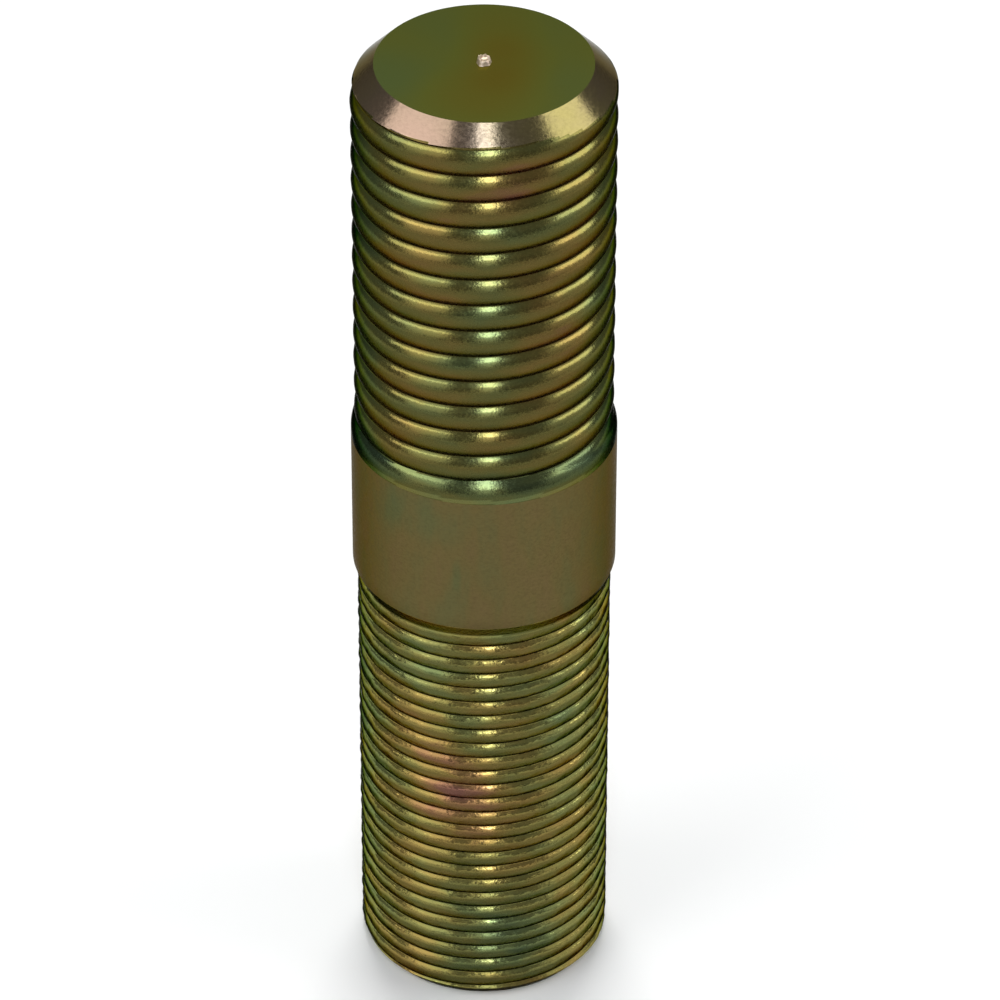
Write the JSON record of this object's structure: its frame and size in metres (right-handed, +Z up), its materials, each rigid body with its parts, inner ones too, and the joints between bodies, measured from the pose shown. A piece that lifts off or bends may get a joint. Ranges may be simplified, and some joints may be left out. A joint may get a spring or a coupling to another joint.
{
  "type": "threaded stud",
  "caption": "Double-ended wheel stud in yellow zinc-plated steel: coarse thread on one end, fine thread on the other, and a plain shank between them.",
  "frame": {"origin": "middle of the flat end face of the fine end, which the stud stands on", "axes": "+Z up along the stud's axis, from the fine end to the coarse end; -Y towards the picture's camera"},
  "size_m": [0.0224, 0.0224, 0.0907],
  "materials": {
    "zinc_plated_steel": "yellow zinc passivated steel, glossy on the threads and satin on the shank"
  },
  "bodies": {
    "root": {"threaded_stud": "zinc_plated_steel"}
  },
  "joints": []
}
